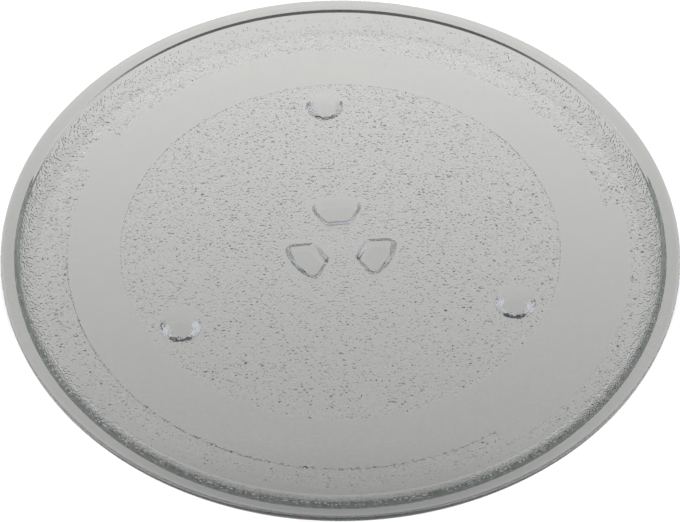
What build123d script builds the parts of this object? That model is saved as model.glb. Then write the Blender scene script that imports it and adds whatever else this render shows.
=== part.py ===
"""Microwave turntable plate, one piece of pressed glass.

The frame has +Z up and its origin on the plate's axis, at the underside of the feet.
Sizes are in millimetres and degrees, and azimuths are counted from +X towards +Y.
"""
import os
from math import acos, cos, degrees, radians, sin, sqrt

from build123d import *

# Plate: a flat base with a shallow dish above it
PLATE_DIAMETER = 345.0
BASE_THICKNESS = 5.0
DISH_RADIUS = 12.0

# Rim: a rounded heel that climbs to a flat flange with a full round edge
HEEL_RADIUS = 10.4
FLANGE_WIDTH = 6.8
FLANGE_THICKNESS = 4.7
FLANGE_RISE = 7.2
LIP_WIDTH = 2.0
LIP_RADIUS = 2.0

# Roller track: the smooth ring, which stands proud of the two textured fields of the underside
TRACK_INNER_DIAMETER = 225.0
TRACK_OUTER_DIAMETER = 280.0
TRACK_STEP = 0.3

# Smooth panels beside the track and level with it: (start, end) azimuths
PANEL_WIDTH = 8.8
PANEL_SPANS = [(-58.0, 10.0), (148.5, 160.0)]

# Feet and drive lugs, pressed out of the underside at the same azimuths
PATTERN_COUNT = 3
PATTERN_AZIMUTH = 95.0

FOOT_PITCH_DIAMETER = 193.0
FOOT_BASE_DIAMETER = 20.4
FOOT_PAD_DIAMETER = 11.0
FOOT_HEIGHT = 5.0

LUG_INNER_DISTANCE = 11.0
LUG_OUTER_DIAMETER = 58.0
LUG_SPAN = 60.0
LUG_HEIGHT = 4.6
LUG_END_SLOPE = 3.2
LUG_SIDE_SLOPE = 1.0
LUG_BEVEL = 2.0
LUG_INNER_CORNER = 3.0
LUG_OUTER_CORNER = 4.5

# Rounding that the press leaves at the root and at the pad of each foot and lug
ROOT_RADIUS = 0.6
PAD_RADIUS = 1.0

# Heights of the main faces above the surface that the feet stand on
BASE_UNDER_Z = FOOT_HEIGHT
BASE_TOP_Z = BASE_UNDER_Z + BASE_THICKNESS
FLANGE_UNDER_Z = BASE_UNDER_Z + FLANGE_RISE
FLANGE_TOP_Z = FLANGE_UNDER_Z + FLANGE_THICKNESS
RIM_MIDDLE_Z = FLANGE_UNDER_Z + FLANGE_THICKNESS / 2


def climb_angle(radius, rise):
    """Angle that an arc turns through as it climbs by rise from a level start."""
    return degrees(acos(1 - rise / radius))


def climb_run(radius, rise):
    """Distance that the same arc covers across."""
    return radius * sin(radians(climb_angle(radius, rise)))


def plate_blank():
    """The plate without its underside detail, turned from its half section."""
    rim_radius = PLATE_DIAMETER / 2
    round_start = rim_radius - FLANGE_THICKNESS / 2
    corner_radius = rim_radius - FLANGE_WIDTH
    lip_radius = corner_radius - LIP_WIDTH
    dish_depth = FLANGE_TOP_Z - BASE_TOP_Z
    heel_start = corner_radius - climb_run(HEEL_RADIUS, FLANGE_RISE)
    dish_start = lip_radius - climb_run(DISH_RADIUS, dish_depth)
    with BuildPart() as blank:
        with BuildSketch(Plane.XZ):
            with BuildLine():
                heel = CenterArc(
                    (heel_start, BASE_UNDER_Z + HEEL_RADIUS),
                    HEEL_RADIUS,
                    -90,
                    climb_angle(HEEL_RADIUS, FLANGE_RISE),
                )
                dish = CenterArc(
                    (dish_start, BASE_TOP_Z + DISH_RADIUS),
                    DISH_RADIUS,
                    -90,
                    climb_angle(DISH_RADIUS, dish_depth),
                )
                rim = ThreePointArc(
                    (round_start, FLANGE_UNDER_Z),
                    (rim_radius, RIM_MIDDLE_Z),
                    (round_start, FLANGE_TOP_Z),
                )
                Polyline(dish @ 0, (0, BASE_TOP_Z), (0, BASE_UNDER_Z), heel @ 0)
                Line(heel @ 1, rim @ 0)
                Line(rim @ 1, dish @ 1)
            section = make_face()
            lip = section.vertices().sort_by_distance((lip_radius, 0, FLANGE_TOP_Z))[0]
            fillet(lip, LIP_RADIUS)
        revolve(axis=Axis.Z)
    return blank.part


def sector(inner_radius, outer_radius, start, end):
    """Flat ring sector between two radii and two azimuths."""
    with BuildSketch() as outline:
        with BuildLine():
            inner = CenterArc((0, 0), inner_radius, start, end - start)
            outer = CenterArc((0, 0), outer_radius, start, end - start)
            Line(inner @ 0, outer @ 0)
            Line(inner @ 1, outer @ 1)
        make_face()
    return outline.sketch


def smooth_band():
    """Roller track and smooth panels, which stand out of the underside."""
    track_inner = TRACK_INNER_DIAMETER / 2
    track_outer = TRACK_OUTER_DIAMETER / 2
    face = Circle(track_outer) - Circle(track_inner)
    for start, end in PANEL_SPANS:
        face += sector(track_outer - TRACK_STEP, track_outer + PANEL_WIDTH, start, end)
    return extrude(Pos(0, 0, BASE_UNDER_Z) * face, -TRACK_STEP)


def foot():
    """One foot on the +X axis: a blunt cone that ends in a flat pad."""
    sunk_z = BASE_UNDER_Z + BASE_THICKNESS / 2
    with BuildPart() as boss:
        with BuildSketch(Plane.XZ):
            section = Polygon(
                (0, 0),
                (FOOT_PAD_DIAMETER / 2, 0),
                (FOOT_BASE_DIAMETER / 2, BASE_UNDER_Z),
                (FOOT_BASE_DIAMETER / 2, sunk_z),
                (0, sunk_z),
                align=None,
            )
            pad_edge = section.vertices().sort_by_distance((FOOT_PAD_DIAMETER / 2, 0, 0))[0]
            fillet(pad_edge, PAD_RADIUS)
        revolve(axis=Axis.Z)
    return Pos(FOOT_PITCH_DIAMETER / 2, 0, 0) * boss.part


def lug_outline(end_inset, side_inset):
    """Outline of a lug on the +X axis, with its two ends and its two radial sides moved in."""
    half_span = radians(LUG_SPAN / 2)
    inner = LUG_INNER_DISTANCE + end_inset
    outer = LUG_OUTER_DIAMETER / 2 - end_inset
    near_y = (inner * sin(half_span) - side_inset) / cos(half_span)
    side_length = sqrt(outer**2 - side_inset**2)
    far_x = side_length * cos(half_span) + side_inset * sin(half_span)
    far_y = side_length * sin(half_span) - side_inset * cos(half_span)
    with BuildSketch() as outline:
        with BuildLine():
            Polyline((far_x, far_y), (inner, near_y), (inner, -near_y), (far_x, -far_y))
            ThreePointArc((far_x, -far_y), (outer, 0), (far_x, far_y))
        make_face()
        fillet(outline.vertices().sort_by(Axis.X)[:2], LUG_INNER_CORNER)
        fillet(outline.vertices().sort_by(Axis.X)[-2:], LUG_OUTER_CORNER - end_inset / 2)
    return outline.sketch


def lug():
    """One drive lug: sloped ends, and steep radial sides that the coupler's arms push on."""
    pad_z = BASE_UNDER_Z - LUG_HEIGHT
    shoulder_z = pad_z + LUG_BEVEL
    shoulder_inset = LUG_END_SLOPE * (BASE_UNDER_Z - shoulder_z) / LUG_HEIGHT
    base = lug_outline(0, 0)
    shoulder = lug_outline(shoulder_inset, LUG_SIDE_SLOPE)
    pad = lug_outline(LUG_END_SLOPE, LUG_SIDE_SLOPE + LUG_BEVEL)
    walls = [Pos(0, 0, pad_z) * pad, Pos(0, 0, shoulder_z) * shoulder, Pos(0, 0, BASE_UNDER_Z) * base]
    boss = loft(walls, ruled=True)
    boss += extrude(Pos(0, 0, BASE_UNDER_Z) * base, BASE_THICKNESS / 2)
    return fillet(boss.edges().group_by(Axis.Z)[0], PAD_RADIUS)


def turntable_plate():
    """The whole plate, with the press's rounding on the feet and lugs."""
    plate = plate_blank() + smooth_band()
    for index in range(PATTERN_COUNT):
        turn = Rot(0, 0, PATTERN_AZIMUTH + index * 360 / PATTERN_COUNT)
        plate += turn * foot()
        plate += turn * lug()
    under_faces = plate.faces().filter_by_position(Axis.Z, BASE_UNDER_Z, BASE_UNDER_Z)
    centre_field = under_faces.sort_by_distance((0, 0, BASE_UNDER_Z))[0]
    return fillet(centre_field.inner_wires().edges(), ROOT_RADIUS)


os.makedirs("parts", exist_ok=True)
export_step(turntable_plate(), "parts/turntable_plate.step")
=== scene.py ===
"""Microwave turntable plate of clear pressed glass, seen from above on a pale studio floor."""
from math import acos, atan2, cos, hypot, pi, radians, sin, sqrt, tan

import bmesh
import bpy
from mathutils import Matrix, Vector, noise


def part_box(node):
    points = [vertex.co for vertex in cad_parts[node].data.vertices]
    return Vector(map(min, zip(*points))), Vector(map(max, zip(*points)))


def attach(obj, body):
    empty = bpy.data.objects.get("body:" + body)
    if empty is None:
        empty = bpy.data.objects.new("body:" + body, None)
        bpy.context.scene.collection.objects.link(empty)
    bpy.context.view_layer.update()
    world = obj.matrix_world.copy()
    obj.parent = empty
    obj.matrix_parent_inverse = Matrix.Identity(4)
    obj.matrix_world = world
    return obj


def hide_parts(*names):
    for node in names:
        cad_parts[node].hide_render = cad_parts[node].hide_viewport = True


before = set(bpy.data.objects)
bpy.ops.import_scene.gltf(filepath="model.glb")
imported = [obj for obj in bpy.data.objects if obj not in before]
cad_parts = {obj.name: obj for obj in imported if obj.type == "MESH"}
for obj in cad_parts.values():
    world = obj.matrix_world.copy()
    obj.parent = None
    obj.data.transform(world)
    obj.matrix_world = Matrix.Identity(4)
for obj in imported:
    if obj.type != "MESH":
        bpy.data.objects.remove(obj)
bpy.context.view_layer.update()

# Plate body.
# The real plate is one gob of soda-lime glass pressed between a smooth plunger, which leaves
# the dish, and a mould, which leaves the roller track and the flat flange of the rim.
MM = 0.001
low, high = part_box("turntable_plate")
rim_radius = (high[0] - low[0]) / 2
flange_top = high[2]
base_under = 5.0 * MM
base_top = 10.0 * MM
flange_width = 6.8 * MM
flange_thickness = 4.7 * MM
heel_radius = 10.4 * MM
dish_radius = 20.0 * MM
lip_width = 2.0 * MM
lip_radius = 2.0 * MM
track_inner = 112.5 * MM
track_outer = 140.0 * MM
track_step = 0.3 * MM
track_edge_run = 0.4 * MM
flange_under = flange_top - flange_thickness
heel_corner = rim_radius - flange_width
edge_support = 1.5 * MM
centre_field_cells = 200
outer_field_steps = 14
heel_steps = 12
rim_steps = 10
lip_steps = 5
dish_steps = 9


def arc(centre, radius, start, end, steps):
    """Points of an arc in a section, from start to end in radians, both included."""
    for step in range(steps + 1):
        angle = start + (end - start) * step / steps
        yield centre[0] + radius * cos(angle), centre[1] + radius * sin(angle)


def level(start, end, height, steps):
    """Points spaced evenly along a level stretch of the section, without its ends."""
    for step in range(1, steps):
        yield start + (end - start) * step / steps, height


def plate_section():
    """Half section of the plate, from the edge of the centre field round to the dish's floor."""
    track_face = base_under - track_step
    heel_climb = acos(1 - (flange_under - base_under) / heel_radius)
    heel_start = heel_corner - heel_radius * sin(heel_climb)
    heel_centre = (heel_start, base_under + heel_radius)
    rim_round = flange_thickness / 2
    rim_centre = (rim_radius - rim_round, flange_under + rim_round)
    dish_climb = acos(1 - (flange_top - base_top) / dish_radius)
    dish_start = heel_corner - lip_width - dish_radius * sin(dish_climb)
    dish_centre = (dish_start, base_top + dish_radius)
    lip_fall = base_top + dish_radius - flange_top + lip_radius
    lip_reach = sqrt((dish_radius + lip_radius) ** 2 - lip_fall**2)
    lip_meet = -atan2(lip_fall, lip_reach)
    lip_centre = (dish_start + lip_reach, flange_top - lip_radius)
    yield track_inner + track_edge_run, track_face
    yield track_inner + edge_support, track_face
    yield track_outer - edge_support, track_face
    yield track_outer - track_edge_run, track_face
    yield track_outer, base_under
    yield from level(track_outer, heel_start, base_under, outer_field_steps)
    yield from arc(heel_centre, heel_radius, -pi / 2, heel_climb - pi / 2, heel_steps)
    yield heel_corner + edge_support, flange_under
    yield from arc(rim_centre, rim_round, -pi / 2, pi / 2, rim_steps)
    yield lip_centre[0] + edge_support, flange_top
    yield from arc(lip_centre, lip_radius, pi / 2, pi + lip_meet, lip_steps)
    yield from list(arc(dish_centre, dish_radius, lip_meet, -pi / 2, dish_steps))[1:]
    yield dish_start - edge_support, base_top


def disc_point(x, y):
    """Carries a point of a square onto a disc, ring by ring."""
    if abs(x) > abs(y):
        reach, angle = x, pi / 4 * y / x
    elif y:
        reach, angle = y, pi / 2 - pi / 4 * x / y
    else:
        reach, angle = 0, 0
    return reach * cos(angle), reach * sin(angle)


plate = bmesh.new()
bmesh.ops.create_grid(plate, x_segments=centre_field_cells, y_segments=centre_field_cells, size=1)
for vert in plate.verts:
    x, y = disc_point(vert.co.x, vert.co.y)
    vert.co = Vector((x * track_inner, y * track_inner, base_under))
ring = [edge for edge in plate.edges if edge.is_boundary]
for reach, height in plate_section():
    grown = bmesh.ops.extrude_edge_only(plate, edges=ring)["geom"]
    for vert in grown:
        if isinstance(vert, bmesh.types.BMVert):
            scale = reach / hypot(vert.co.x, vert.co.y)
            vert.co = Vector((vert.co.x * scale, vert.co.y * scale, height))
    ring = [edge for edge in grown if isinstance(edge, bmesh.types.BMEdge) and edge.is_boundary]
dish_floor = bmesh.ops.contextual_create(plate, geom=ring)["faces"]
bmesh.ops.poke(plate, faces=dish_floor)
bmesh.ops.recalc_face_normals(plate, faces=plate.faces)

# Smooth panels.
# The mould is polished in two stretches beside the track, so the glass has two smooth panels
# there. They stand as proud of the textured field as the track does.
panel_width = 8.8 * MM
panel_spans = [(-58.0, 10.0), (148.5, 160.0)]
panel_steps_per_degree = 1.0
panels = bmesh.new()
for start, end in panel_spans:
    inner, outer = track_outer - 2 * track_edge_run, track_outer + panel_width
    lowest, highest = base_under - track_step, base_under + track_step
    corners = [(inner, lowest), (outer, lowest), (outer, highest), (inner, highest)]
    end_face = panels.faces.new([panels.verts.new((x, 0, z)) for x, z in corners])
    turn = Matrix.Rotation(radians(start), 3, "Z")
    bmesh.ops.rotate(panels, verts=end_face.verts, cent=(0, 0, 0), matrix=turn)
    bmesh.ops.spin(
        panels, geom=[end_face, *end_face.edges, *end_face.verts], cent=(0, 0, 0), axis=(0, 0, 1),
        angle=radians(end - start), steps=round((end - start) * panel_steps_per_degree),
    )
bmesh.ops.recalc_face_normals(panels, faces=panels.faces)

# Feet and drive lugs.
# Three blunt cones hold the plate off a table, and three ring sectors take the drive from the
# oven's coupler. Both are pressed out of the underside, with rounded roots and pads.
boss_azimuths = [95.0, 215.0, 335.0]
root_round = 0.6 * MM
sunk = 2.0 * MM
root_steps = 5
pad_steps = 7
foot_pitch_radius = 96.5 * MM
foot_radius = 10.2 * MM
foot_slope = 4.7 * MM
foot_height = 5.0 * MM
foot_pad_round = 1.5 * MM
foot_steps = 72
lug_inner = 11.0 * MM
lug_outer = 29.0 * MM
lug_half_span = radians(30.0)
lug_height = 4.6 * MM
lug_side_slope = 1.0 * MM
lug_side_round = 3.0 * MM
lug_inner_slope = 3.2 * MM
lug_inner_round = 4.0 * MM
lug_outer_slope = 3.2 * MM
lug_outer_round = 2.0 * MM
lug_inner_corner = 3.0 * MM
lug_outer_corner = 4.5 * MM
lug_outer_steps = 10
lug_inner_steps = 8


def wall_inset(drop, height, slope, pad_round):
    """How far a boss's wall has leaned in at a drop below the base, with its root and pad rounded."""
    steepness = atan2(height, slope)
    root_end = root_round * (1 - cos(steepness))
    pad_start = height - pad_round * (1 - cos(steepness))
    if drop <= root_end:
        return sqrt(root_round**2 - (root_round - drop) ** 2) - root_round * tan(steepness / 2)
    if drop < pad_start:
        return slope * drop / height
    fall = pad_round - height + drop
    return slope + pad_round * tan(steepness / 2) - sqrt(max(pad_round**2 - fall**2, 0))


def boss_drops(height, slope, pad_round):
    """Drops below the base at which a boss gets a ring of points, close together where it is round."""
    steepness = atan2(height, slope)
    for step in range(root_steps + 1):
        yield root_round * (1 - cos(steepness * step / root_steps))
    for step in range(pad_steps + 1):
        yield height - pad_round * (1 - cos(steepness * (pad_steps - step) / pad_steps))


def foot_outline(drop):
    """A foot's outline at a drop below the base, round its own axis on +X."""
    radius = foot_radius - wall_inset(drop, foot_height, foot_slope, foot_pad_round)
    yield from list(arc((foot_pitch_radius, 0), radius, 0, 2 * pi, foot_steps))[1:]


def lug_outline(drop):
    """A lug's outline on +X: a ring sector with a straight inner side and rounded corners."""
    side = wall_inset(drop, lug_height, lug_side_slope, lug_side_round)
    inner = lug_inner + wall_inset(drop, lug_height, lug_inner_slope, lug_inner_round)
    outer = lug_outer - wall_inset(drop, lug_height, lug_outer_slope, lug_outer_round)
    outer_corner = lug_outer_corner - drop / 2
    outer_off = side + outer_corner
    inner_off = side + lug_inner_corner
    outer_along = sqrt((outer - outer_corner) ** 2 - outer_off**2)
    inner_along = (inner + lug_inner_corner - inner_off * sin(lug_half_span)) / cos(lug_half_span)
    along_side = Vector((cos(lug_half_span), sin(lug_half_span)))
    off_side = Vector((sin(lug_half_span), -cos(lug_half_span)))
    outer_centre = along_side * outer_along + off_side * outer_off
    inner_centre = along_side * inner_along + off_side * inner_off
    outer_turn = atan2(outer_centre.y, outer_centre.x)
    upper = list(arc((0, 0), outer, 0, outer_turn, lug_outer_steps))[:-1]
    upper += arc(outer_centre, outer_corner, outer_turn, lug_half_span + pi / 2, lug_outer_steps)
    upper += arc(inner_centre, lug_inner_corner, lug_half_span + pi / 2, pi, lug_inner_steps)
    upper.append((inner, 0))
    lower = [(x, -y) for x, y in reversed(upper)]
    yield from upper
    yield from lower[1:-1]


def press_boss(bosses, outline, drops):
    """Adds one boss, closed at its sunk root and at its pad."""
    rings = [(0, base_under + sunk)] + [(drop, base_under - drop) for drop in drops]
    loops = []
    for drop, z in rings:
        loop = [bosses.verts.new((x, y, z)) for x, y in outline(drop)]
        loops.append([bosses.edges.new(pair) for pair in zip(loop, loop[1:] + loop[:1])])
    for above, below in zip(loops, loops[1:]):
        bmesh.ops.bridge_loops(bosses, edges=above + below)
    for end in (loops[0], loops[-1]):
        bmesh.ops.contextual_create(bosses, geom=end)


bosses = bmesh.new()
press_boss(bosses, foot_outline, boss_drops(foot_height, foot_slope, foot_pad_round))
press_boss(bosses, lug_outline, boss_drops(lug_height, lug_side_slope, lug_side_round))
bmesh.ops.recalc_face_normals(bosses, faces=bosses.faces)
first = bosses.verts[:] + bosses.edges[:] + bosses.faces[:]
turn_to_first = Matrix.Rotation(radians(boss_azimuths[0]), 3, "Z")
bmesh.ops.rotate(bosses, verts=bosses.verts, cent=(0, 0, 0), matrix=turn_to_first)
for azimuth in boss_azimuths[1:]:
    copy = bmesh.ops.duplicate(bosses, geom=first)["geom"]
    turned = [item for item in copy if isinstance(item, bmesh.types.BMVert)]
    turn = Matrix.Rotation(radians(azimuth - boss_azimuths[0]), 3, "Z")
    bmesh.ops.rotate(bosses, verts=turned, cent=(0, 0, 0), matrix=turn)


def mesh_object(name, shape):
    """Turns a bmesh into an object of the scene."""
    mesh = bpy.data.meshes.new(name)
    shape.to_mesh(mesh)
    shape.free()
    made = bpy.data.objects.new(name, mesh)
    bpy.context.scene.collection.objects.link(made)
    return made


def fuse(body, addition):
    """Joins another shape to the body and keeps the result in the body's mesh."""
    modifier = body.modifiers.new("fuse", "BOOLEAN")
    modifier.object = addition
    modifier.operation = "UNION"
    modifier.solver = "MANIFOLD"
    settled = bpy.context.evaluated_depsgraph_get()
    body.data = bpy.data.meshes.new_from_object(body.evaluated_get(settled))
    body.modifiers.clear()
    bpy.data.objects.remove(addition)


glass_plate = mesh_object("glass_plate", plate)
fuse(glass_plate, mesh_object("panels", panels))
fuse(glass_plate, mesh_object("bosses", bosses))

# Pebble.
# The mould's textured fields print a wrinkled grain into the underside, which hides scratches.
# It stops short of the feet and lugs, deepens on the heel and dies out below the flange.
grain_pitch = 1.8 * MM
grain_depth = 0.04 * MM
boss_margin = 0.8 * MM
boss_fade = 1.6 * MM
heel_gain = 0.5
heel_deep_at = base_under + 1.2 * MM
heel_bare_from = base_under + 4.2 * MM
heel_bare_at = base_under + 6.4 * MM
level_tolerance = 0.05 * MM
crease_angle = radians(35)


def smooth_step(value, start, end):
    """0 up to start, 1 from end on, and an even curve between."""
    share = min(max((value - start) / (end - start), 0), 1)
    return share * share * (3 - 2 * share)


def clear_of_bosses(x, y):
    """0 on and beside a foot or lug, 1 away from all of them."""
    share = 1
    for azimuth in boss_azimuths:
        along = x * cos(radians(azimuth)) + y * sin(radians(azimuth))
        across = y * cos(radians(azimuth)) - x * sin(radians(azimuth))
        foot_gap = hypot(along - foot_pitch_radius, across) - foot_radius
        reach = hypot(along, across)
        side_gap = (abs(atan2(across, along)) - lug_half_span) * reach
        lug_gap = max(side_gap, lug_inner - along, reach - lug_outer)
        share *= smooth_step(min(foot_gap, lug_gap), boss_margin, boss_margin + boss_fade)
    return share


def grain_share(co):
    """How deep the grain is at a point: 1 on the flat fields, more on the heel, 0 on smooth glass."""
    reach = hypot(co.x, co.y)
    if co.z < base_under - level_tolerance or co.z > heel_bare_at:
        return 0
    if reach < track_inner - level_tolerance:
        return clear_of_bosses(co.x, co.y) if co.z < base_under + level_tolerance else 0
    if reach < track_outer + level_tolerance:
        return 0
    deepened = 1 + heel_gain * smooth_step(co.z, base_under + level_tolerance, heel_deep_at)
    return deepened * (1 - smooth_step(co.z, heel_bare_from, heel_bare_at))


mesh = glass_plate.data
grain = mesh.attributes.new("grain", "FLOAT", "POINT")
lift = []
for vert in mesh.vertices:
    share = grain_share(vert.co)
    grain.data[vert.index].value = share
    if share:
        lift.append((vert.index, vert.normal * grain_depth * share * noise.noise(vert.co / grain_pitch)))
for index, move in lift:
    mesh.vertices[index].co += move
mesh.shade_smooth()
mesh.set_sharp_from_angle(angle=crease_angle)

# Finish of the plate.
# Pressed soda-lime glass: clear and colourless through the base, faintly green where the eye
# looks along it, with a fire-polished top and a mould-printed grain below.
swell_width = 1.8 * MM
ripples_per_swell = 1.6
ripple_depth = 0.118 * MM
glass_ior = 1.52
tint_per_metre = 4.5


def linear(hex_colour):
    """An sRGB hex colour as linear red, green, blue and alpha."""
    channels = [int(hex_colour[i:i + 2], 16) / 255 for i in (1, 3, 5)]
    return [c / 12.92 if c <= 0.04045 else ((c + 0.055) / 1.055) ** 2.4 for c in channels] + [1]


def add_node(tree, kind, inputs=(), **settings):
    """Adds a node with its settings, and sets or links its inputs."""
    node = tree.nodes.new(kind)
    for name, value in settings.items():
        setattr(node, name, value)
    for name, value in dict(inputs).items():
        if isinstance(value, bpy.types.NodeSocket):
            tree.links.new(value, node.inputs[name])
        else:
            node.inputs[name].default_value = value
    return node


pressed_glass = bpy.data.materials.new("pressed_soda_lime_glass")
pressed_glass.use_nodes = True
tree = pressed_glass.node_tree
tree.nodes.clear()
place = add_node(tree, "ShaderNodeTexCoord")
swell = add_node(
    tree, "ShaderNodeTexNoise",
    {"Vector": place.outputs["Object"], "Scale": 1.0 / swell_width, "Detail": 0.0},
)
phase = add_node(
    tree, "ShaderNodeMath",
    {0: swell.outputs["Fac"], 1: 2 * pi * ripples_per_swell}, operation="MULTIPLY",
)
ripple = add_node(tree, "ShaderNodeMath", {0: phase.outputs["Value"]}, operation="SINE")
printed = add_node(tree, "ShaderNodeAttribute", attribute_name="grain")
relief = add_node(
    tree, "ShaderNodeMath",
    {0: ripple.outputs["Value"], 1: printed.outputs["Fac"]}, operation="MULTIPLY",
)
bump = add_node(
    tree, "ShaderNodeBump",
    {"Strength": 1.0, "Distance": ripple_depth, "Height": relief.outputs["Value"]},
)
glass = add_node(
    tree, "ShaderNodeBsdfPrincipled",
    {
        "Base Color": linear("#ffffff"), "Roughness": 0.0, "IOR": glass_ior, "Transmission Weight": 1.0,
        "Normal": bump.outputs["Normal"],
    },
)
# Light on its way to the card passes the glass straight, so the card below is lit evenly.
clear_pass = add_node(tree, "ShaderNodeBsdfTransparent", {"Color": linear("#f6f6f6")})
path = add_node(tree, "ShaderNodeLightPath")
lights_card = add_node(
    tree, "ShaderNodeMath",
    {0: path.outputs["Is Shadow Ray"], 1: path.outputs["Is Diffuse Ray"]}, operation="MAXIMUM",
)
surface = add_node(
    tree, "ShaderNodeMixShader",
    {0: lights_card.outputs["Value"], 1: glass.outputs["BSDF"], 2: clear_pass.outputs["BSDF"]},
)
body = add_node(
    tree, "ShaderNodeVolumeAbsorption", {"Color": linear("#275545"), "Density": tint_per_metre}
)
add_node(
    tree, "ShaderNodeOutputMaterial",
    {"Surface": surface.outputs["Shader"], "Volume": body.outputs["Volume"]},
)
mesh.materials.clear()
mesh.materials.append(pressed_glass)
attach(glass_plate, "root")
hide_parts("turntable_plate")

# Floor.
# A wide sheet of matt white paper lies just below the feet. It has no gloss, so only the glass
# shines, and it keeps the plate's soft shadow.
floor_half = 3.0
floor_drop = 0.15 * MM
floor_cells = 8
paper = bmesh.new()
bmesh.ops.create_grid(paper, x_segments=floor_cells, y_segments=floor_cells, size=floor_half)
bmesh.ops.translate(paper, verts=paper.verts, vec=(0, 0, -floor_drop))
floor = mesh_object("floor", paper)
white_paper = bpy.data.materials.new("matt_white_paper")
white_paper.use_nodes = True
matt = white_paper.node_tree.nodes["Principled BSDF"]
matt.inputs["Base Color"].default_value = linear("#ffffff")
matt.inputs["Roughness"].default_value = 1.0
matt.inputs["Specular IOR Level"].default_value = 0.0
floor.data.materials.append(white_paper)

# Card of painted shadow.
# A round grey card lies on the paper under the plate and turns up behind its far rim, so that
# clear glass reads against white. Its grey is a painted shadow of the plate, and its grading from pale
# behind to darker in front is painted shade of light falling off towards the front.
card_drop = 0.05 * MM
card_inner_radius = 158.0 * MM
card_radius = 172.3 * MM
card_segments = 256
card_rise = 11.9 * MM
card_flat_until = -0.6
card_raised_from = 0.0
shift_flat = 8.6 * MM
shift_raised = 2.2 * MM
card_near = -165.0 * MM
card_middle = -120.0 * MM
card_far = 130.0 * MM
sheet = bmesh.new()
bmesh.ops.create_circle(sheet, cap_ends=True, segments=card_segments, radius=card_inner_radius)
raised = bmesh.ops.extrude_edge_only(sheet, edges=sheet.edges[:])["geom"]
for vert in raised:
    if isinstance(vert, bmesh.types.BMVert):
        bearing = vert.co.normalized()
        rise = card_rise * smooth_step(bearing.y, card_flat_until, card_raised_from)
        hidden_shift = shift_flat + (shift_raised - shift_flat) * rise / card_rise
        vert.co = bearing * card_radius + Vector((0, hidden_shift, rise))
bmesh.ops.translate(sheet, verts=sheet.verts, vec=(0, 0, -card_drop))
card = mesh_object("card", sheet)
painted_shadow_card = bpy.data.materials.new("card_of_painted_shadow")
painted_shadow_card.use_nodes = True
tree = painted_shadow_card.node_tree
matt = tree.nodes["Principled BSDF"]
matt.inputs["Roughness"].default_value = 1.0
matt.inputs["Specular IOR Level"].default_value = 0.0
place = add_node(tree, "ShaderNodeTexCoord")
axes = add_node(tree, "ShaderNodeSeparateXYZ", {"Vector": place.outputs["Object"]})
along = add_node(
    tree, "ShaderNodeMapRange",
    {"Value": axes.outputs["Y"], "From Min": card_near, "From Max": card_far},
)
# Painted shade: the ramp paints the plate's shadow and light falling off, pale behind and darkest in
# front.
painted_falloff_ramp = add_node(tree, "ShaderNodeValToRGB", {"Fac": along.outputs["Result"]})
painted_falloff_ramp.color_ramp.elements[0].color = linear("#949391")
painted_falloff_ramp.color_ramp.elements[1].color = linear("#d6d5d1")
middle_share = (card_middle - card_near) / (card_far - card_near)
painted_falloff_ramp.color_ramp.elements.new(middle_share).color = linear("#acaba8")
tree.links.new(painted_falloff_ramp.outputs["Color"], matt.inputs["Base Color"])
card.data.materials.append(painted_shadow_card)

# Room and lamp.
# The glass mirrors a studio with a white horizon, a dark wall behind the plate, paler walls at
# its sides and a pale ceiling. One wide softbox above lights the card through the glass.
wall_from = radians(5)
wall_full = radians(8)
ceiling_from = radians(38)
ceiling_full = radians(44)
side_wall_from = 0.02
side_wall_full = 0.2
back_wall_until = 0.42
ceiling_before = 0.3
lamp_side = 1.2
lamp_watts = 22.9
lamp_place = (0, 0.2, 1.6)
light_bounces = 40
horizon_colour = linear("#ffffff")
dark_colour = linear("#454545")
side_colour = linear("#c4c4c4")
ceiling_colour = linear("#d2d5dc")
sky = bpy.data.worlds.new("studio")
bpy.context.scene.world = sky
sky.use_nodes = True
tree = sky.node_tree
tree.nodes.clear()
way = add_node(tree, "ShaderNodeTexCoord")
axes = add_node(tree, "ShaderNodeSeparateXYZ", {"Vector": way.outputs["Generated"]})
above_horizon = add_node(
    tree, "ShaderNodeMapRange",
    {"Value": axes.outputs["Z"], "From Min": sin(wall_from), "From Max": sin(wall_full)},
    interpolation_type="SMOOTHSTEP",
)
in_ceiling = add_node(
    tree, "ShaderNodeMapRange",
    {"Value": axes.outputs["Z"], "From Min": sin(ceiling_from), "From Max": sin(ceiling_full)},
    interpolation_type="SMOOTHSTEP",
)
across = add_node(
    tree, "ShaderNodeMath", {0: axes.outputs["X"], 1: axes.outputs["X"]}, operation="MULTIPLY"
)
sideways = add_node(
    tree, "ShaderNodeMapRange",
    {"Value": across.outputs["Value"], "From Min": side_wall_from, "From Max": side_wall_full},
    interpolation_type="SMOOTHSTEP",
)
walls = add_node(
    tree, "ShaderNodeMix",
    {0: sideways.outputs["Result"], 6: dark_colour, 7: side_colour}, data_type="RGBA",
)
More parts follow.
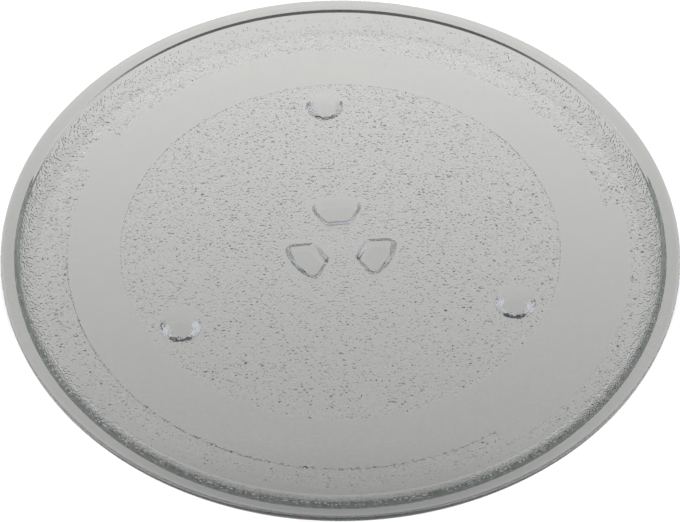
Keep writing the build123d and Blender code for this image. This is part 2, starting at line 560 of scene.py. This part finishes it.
lower_room = add_node(
    tree, "ShaderNodeMix",
    {0: above_horizon.outputs["Result"], 6: horizon_colour, 7: walls.outputs[2]}, data_type="RGBA",
)
before_wall = add_node(
    tree, "ShaderNodeMapRange",
    {"Value": axes.outputs["Y"], "From Min": back_wall_until, "From Max": ceiling_before},
    interpolation_type="SMOOTHSTEP",
)
overhead = add_node(
    tree, "ShaderNodeMix",
    {0: before_wall.outputs["Result"], 6: dark_colour, 7: ceiling_colour}, data_type="RGBA",
)
room = add_node(
    tree, "ShaderNodeMix",
    {0: in_ceiling.outputs["Result"], 6: lower_room.outputs[2], 7: overhead.outputs[2]},
    data_type="RGBA",
)
light = add_node(tree, "ShaderNodeBackground", {"Color": room.outputs[2], "Strength": 1.0})
add_node(tree, "ShaderNodeOutputWorld", {"Surface": light.outputs["Background"]})
softbox = bpy.data.lights.new("softbox", "AREA")
softbox.shape = "RECTANGLE"
softbox.size = lamp_side
softbox.size_y = lamp_side
softbox.energy = lamp_watts
lamp = bpy.data.objects.new("softbox", softbox)
lamp.location = lamp_place
lamp.visible_glossy = False
lamp.visible_transmission = False
bpy.context.scene.collection.objects.link(lamp)
bpy.context.scene.cycles.max_bounces = light_bounces
bpy.context.scene.cycles.glossy_bounces = light_bounces
bpy.context.scene.cycles.transmission_bounces = light_bounces

# Camera.
# It stands in front of the plate and looks down on it at about fifty degrees, through a lens
# long enough to keep the plate's circles close to true ellipses.
camera_place = Vector((0.0, -0.6260, 0.7424))
camera_aim = Vector((-0.0002, -0.0136, 0.0072))
lens_mm = 99.5
sensor_mm = 36.0
eye = bpy.data.cameras.new("camera")
eye.lens = lens_mm
eye.sensor_width = sensor_mm
eye.sensor_fit = "HORIZONTAL"
camera = bpy.data.objects.new("camera", eye)
camera.location = camera_place
camera.rotation_euler = (camera_aim - camera_place).to_track_quat("-Z", "Y").to_euler()
bpy.context.scene.collection.objects.link(camera)
bpy.context.scene.camera = camera
bpy.context.scene.view_settings.view_transform = "Standard"
